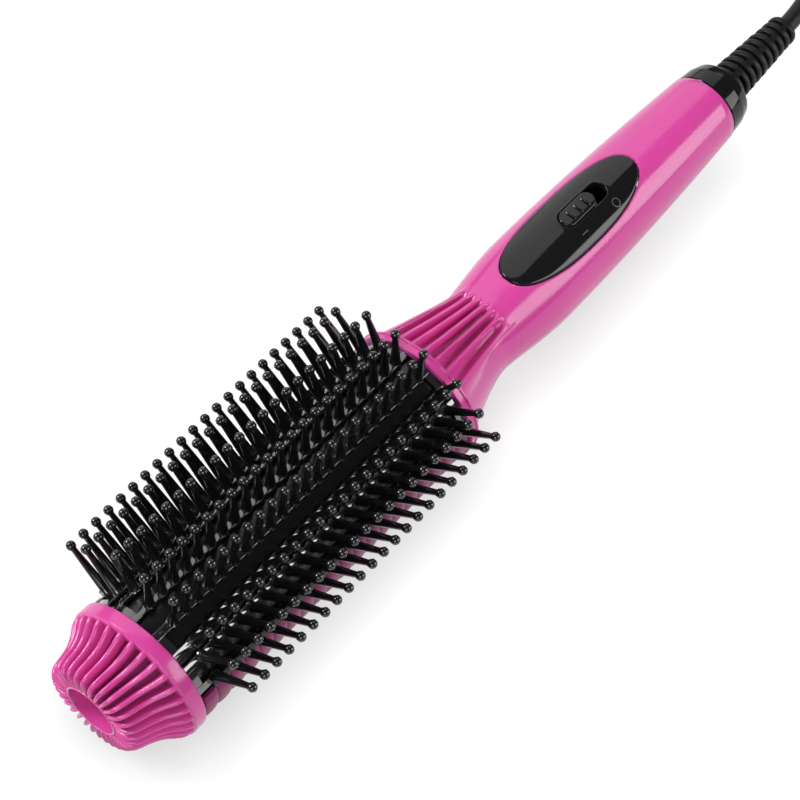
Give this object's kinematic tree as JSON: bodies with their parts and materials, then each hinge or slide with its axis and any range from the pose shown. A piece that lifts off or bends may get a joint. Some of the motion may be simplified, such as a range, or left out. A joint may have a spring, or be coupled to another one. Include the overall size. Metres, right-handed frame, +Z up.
{
  "type": "hair straightening comb",
  "caption": "Heated round hair straightening comb with rows of ball-tipped pins, a finned nose, a handle with a slide switch, and a swivel cord with a plug.",
  "frame": {"origin": "on the surface that the comb lies on, below the middle of its box without the cord", "axes": "+X along the comb from the nose to the cord, +Z up out of the pins"},
  "size_m": [0.5188, 0.1051, 0.0615],
  "materials": {
    "pink_shell": "satin pink moulding",
    "gloss_black": "polished black",
    "pin_black": "smooth black",
    "cord_black": "matte black",
    "heatproof_black": "matte",
    "steel": "bright",
    "aluminium": "extruded",
    "brass": "bright",
    "film": "amber film",
    "board": "green laminate"
  },
  "bodies": {
    "root": {"nose_cap": "pink_shell", "nose_screw": "steel", "front_collar": "heatproof_black", "barrel": "gloss_black", "bristle_bar_left_inner": "pin_black", "bristle_bar_left_outer": "pin_black", "bristle_bar_right_inner": "pin_black", "bristle_bar_right_outer": "pin_black", "back_shell": "pink_shell", "ptc_heater": "heatproof_black", "heater_insulation": "film", "heat_spreader_upper": "aluminium", "heat_spreader_lower": "aluminium", "thermal_fuse": "steel", "rear_collar": "heatproof_black", "heater_lead_live": "cord_black", "heater_lead_neutral": "cord_black", "handle_top_shell": "pink_shell", "handle_bottom_shell": "pink_shell", "handle_screw_front": "steel", "handle_screw_rear": "steel", "switch_panel": "gloss_black", "slide_switch_body": "heatproof_black", "circuit_board": "board", "supply_lead_live": "cord_black", "supply_lead_neutral": "cord_black", "contact_carrier": "heatproof_black", "contact_spring_live": "brass", "contact_spring_neutral": "brass", "end_cap": "gloss_black", "power_cord": "cord_black", "cord_coil": "cord_black", "cord_tail": "cord_black", "cord_tie_left": "cord_black", "cord_tie_right": "cord_black", "plug_body": "cord_black", "plug_pin_1": "steel", "plug_pin_2": "steel"},
    "switch": {"switch_knob": "gloss_black", "switch_slider": "heatproof_black"},
    "swivel": {"swivel_bush": "heatproof_black", "slip_ring_disc": "brass", "strain_relief": "cord_black"}
  },
  "joints": [
    {"name": "switch_slide", "type": "slide", "parent": "root", "child": "switch", "axis": [1, 0, 0], "range_m": [0, 0.0055]},
    {"name": "cord_swivel", "type": "hinge", "parent": "root", "child": "swivel", "pos_m": [0.1381, 0, 0.0237], "axis": [1, 0, 0], "continuous": true}
  ]
}
